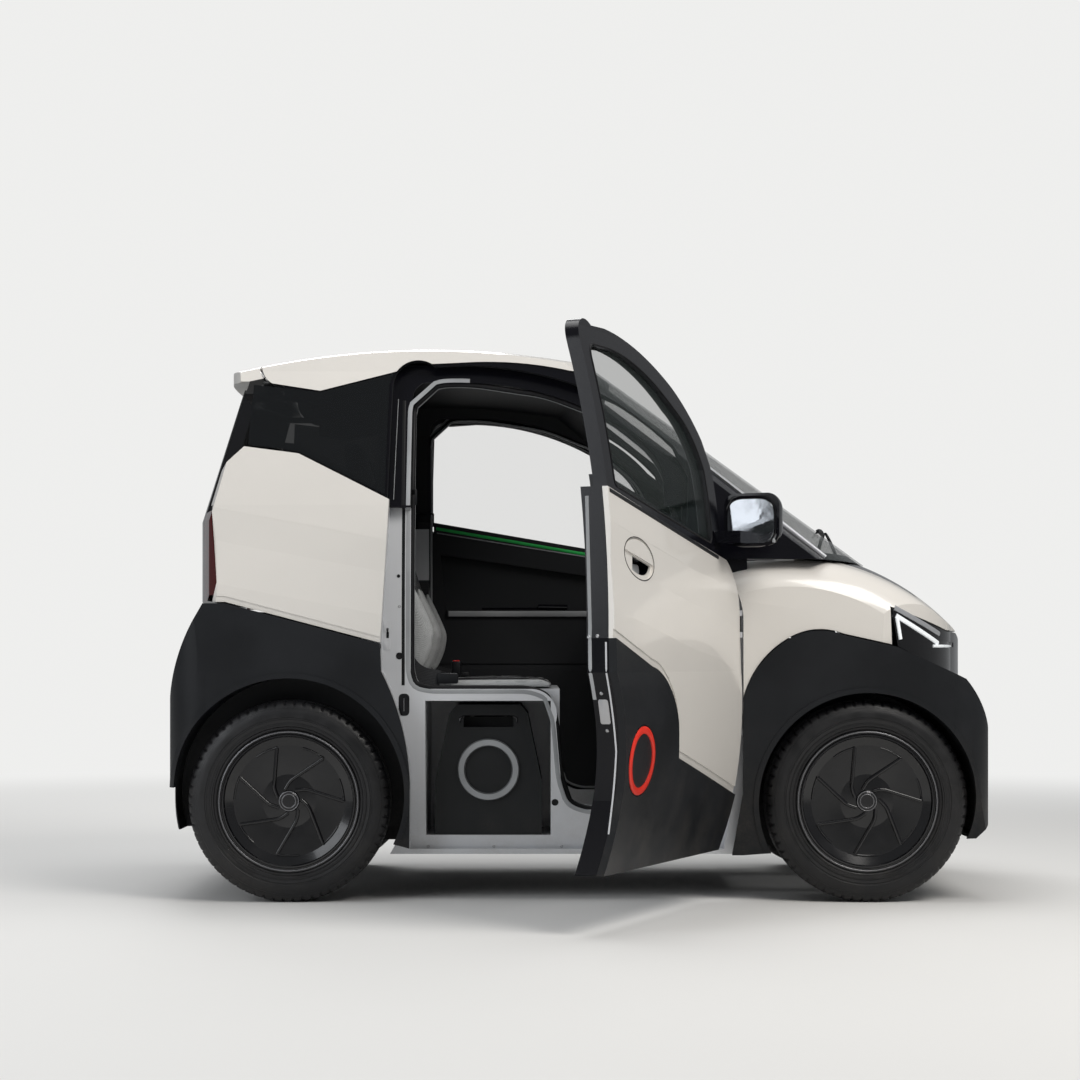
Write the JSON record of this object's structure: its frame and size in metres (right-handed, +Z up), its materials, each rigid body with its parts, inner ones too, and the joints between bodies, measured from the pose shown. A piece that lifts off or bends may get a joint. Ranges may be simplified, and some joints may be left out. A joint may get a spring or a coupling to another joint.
{
  "type": "electric microcar",
  "caption": "Small two-seat electric city car with one side door open, dark lower cladding, glass cabin, steered front wheels and an opening tailgate.",
  "frame": {"origin": "on the ground under the middle of the wheelbase, on the car's centre plane", "axes": "+X forward to the nose, +Y to the car's left side, +Z up"},
  "size_m": [2.298, 2.3204, 1.585],
  "materials": {
    "body_paint": "warm white paint, semi-gloss",
    "dark_cladding": "matte dark grey moulded plastic",
    "gloss_black": "gloss black",
    "frame_white": "white painted steel",
    "structure": "black coated steel",
    "glass": "green tinted glass",
    "dark_glass": "dark tinted glass",
    "lamp": "black lamp body with light strip",
    "lamp_red": "dark red lens",
    "interior": "grained dark plastic",
    "seat_fabric": "dark woven fabric with light grey bolsters",
    "battery_case": "dark textured casing",
    "tyre": "tyre rubber",
    "wheel": "gloss black wheel cover",
    "motor_case": "cast aluminium"
  },
  "bodies": {
    "body": {"roof_panel": "body_paint", "windscreen": "glass", "upper_frame": "gloss_black", "quarter_glasses": "dark_glass", "quarter_panels": "body_paint", "side_frame_right": "frame_white", "side_frame_left": "frame_white", "front_claddings": "dark_cladding", "front_bumper": "dark_cladding", "rear_claddings": "dark_cladding", "rear_bumper": "dark_cladding", "bonnet": "body_paint", "front_fenders": "body_paint", "cowl": "gloss_black", "front_carrier": "structure", "headlamps": "lamp", "nose_panel": "gloss_black", "tail_lamps": "lamp_red", "floor_pan": "structure", "wheelhouses": "dark_cladding", "seat_box": "frame_white", "battery_packs": "battery_case", "seat_cushions": "seat_fabric", "seat_backs": "seat_fabric", "boot_floor": "interior", "motor": "motor_case", "dashboard": "interior", "steering_column": "interior", "front_suspension": "structure", "rear_suspension": "structure"},
    "tailgate": {"tailgate_frame": "gloss_black", "tailgate_glass": "dark_glass", "spoiler": "body_paint"},
    "steering_wheel": {"steering_wheel": "interior"},
    "door_right": {"door_skin_right": "body_paint", "door_cladding_right": "dark_cladding", "door_core_right": "interior", "door_glass_right": "glass", "door_mirror_right": "gloss_black"},
    "knuckle_right": {"knuckle_right": "structure"},
    "wheel_front_right": {"rim_front_right": "wheel", "tyre_front_right": "tyre"},
    "wheel_rear_right": {"rim_rear_right": "wheel", "tyre_rear_right": "tyre"},
    "door_left": {"door_skin_left": "body_paint", "door_cladding_left": "dark_cladding", "door_core_left": "interior", "door_glass_left": "glass", "door_mirror_left": "gloss_black"},
    "knuckle_left": {"knuckle_left": "structure"},
    "wheel_front_left": {"rim_front_left": "wheel", "tyre_front_left": "tyre"},
    "wheel_rear_left": {"rim_rear_left": "wheel", "tyre_rear_left": "tyre"}
  },
  "joints": [
    {"name": "right_door_hinge", "type": "hinge", "parent": "body", "child": "door_right", "pos_m": [0.441, -0.626, 0.65], "axis": [0, 0, 1], "range_deg": [-67, 0]},
    {"name": "left_door_hinge", "type": "hinge", "parent": "body", "child": "door_left", "pos_m": [0.441, 0.626, 0.65], "axis": [0, 0, -1], "range_deg": [0, 67]},
    {"name": "tailgate_hinge", "type": "hinge", "parent": "body", "child": "tailgate", "pos_m": [-0.82, 0, 1.5], "axis": [0, 1, 0], "range_deg": [0, 75]},
    {"name": "steering_wheel_turn", "type": "hinge", "parent": "body", "child": "steering_wheel", "pos_m": [0.261, 0.262, 0.838], "axis": [-0.9135, 0, 0.4067], "range_deg": [-364, 364]},
    {"name": "right_steer", "type": "hinge", "parent": "body", "child": "knuckle_right", "pos_m": [0.8, -0.556, 0.28], "axis": [0, 0, 1], "range_deg": [-28, 28]},
    {"name": "front_right_wheel_spin", "type": "hinge", "parent": "knuckle_right", "child": "wheel_front_right", "pos_m": [0.8, -0.556, 0.28], "axis": [0, 1, 0], "continuous": true},
    {"name": "rear_right_wheel_spin", "type": "hinge", "parent": "body", "child": "wheel_rear_right", "pos_m": [-0.8, -0.556, 0.28], "axis": [0, 1, 0], "continuous": true},
    {"name": "left_steer", "type": "hinge", "parent": "body", "child": "knuckle_left", "pos_m": [0.8, 0.556, 0.28], "axis": [0, 0, 1], "range_deg": [-28, 28]},
    {"name": "front_left_wheel_spin", "type": "hinge", "parent": "knuckle_left", "child": "wheel_front_left", "pos_m": [0.8, 0.556, 0.28], "axis": [0, 1, 0], "continuous": true},
    {"name": "rear_left_wheel_spin", "type": "hinge", "parent": "body", "child": "wheel_rear_left", "pos_m": [-0.8, 0.556, 0.28], "axis": [0, 1, 0], "continuous": true}
  ],
  "couplings": [
    {"joint": "left_steer", "follows": "right_steer", "ratio": 1},
    {"joint": "steering_wheel_turn", "follows": "right_steer", "ratio": 13}
  ]
}
